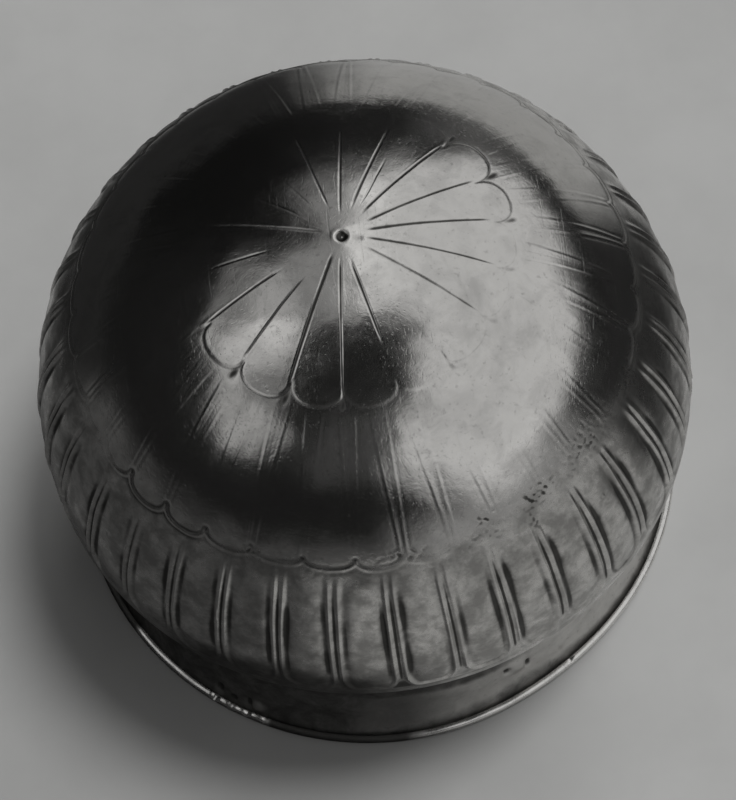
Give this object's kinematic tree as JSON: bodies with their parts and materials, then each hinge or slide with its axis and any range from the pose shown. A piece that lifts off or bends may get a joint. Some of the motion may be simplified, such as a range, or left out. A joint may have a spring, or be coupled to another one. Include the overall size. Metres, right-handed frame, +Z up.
{
  "type": "silver bowl",
  "caption": "Deep round-based silver bowl with a concave neck, chased with petals, leaves and ribbed tongues, standing mouth down on its lip.",
  "frame": {"origin": "centre of the mouth, on the plane that the lip rests on", "axes": "+Z up, along the bowl's axis, from the mouth to the crown of the rounded base; a pair of ribs faces -Y"},
  "size_m": [0.1298, 0.1298, 0.101],
  "materials": {
    "chased_silver": "worn polished silver with tarnish stains and dark residue in the chased lines",
    "neck_silver": "worn polished silver, slightly stained",
    "lip_silver": "polished silver, rounded edge, bright from wear",
    "solder": "dull grey silver solder"
  },
  "bodies": {
    "root": {"bowl_shell": "chased_silver", "neck_collar": "neck_silver", "lip_ring": "lip_silver", "shoulder_solder": "solder"}
  },
  "joints": []
}
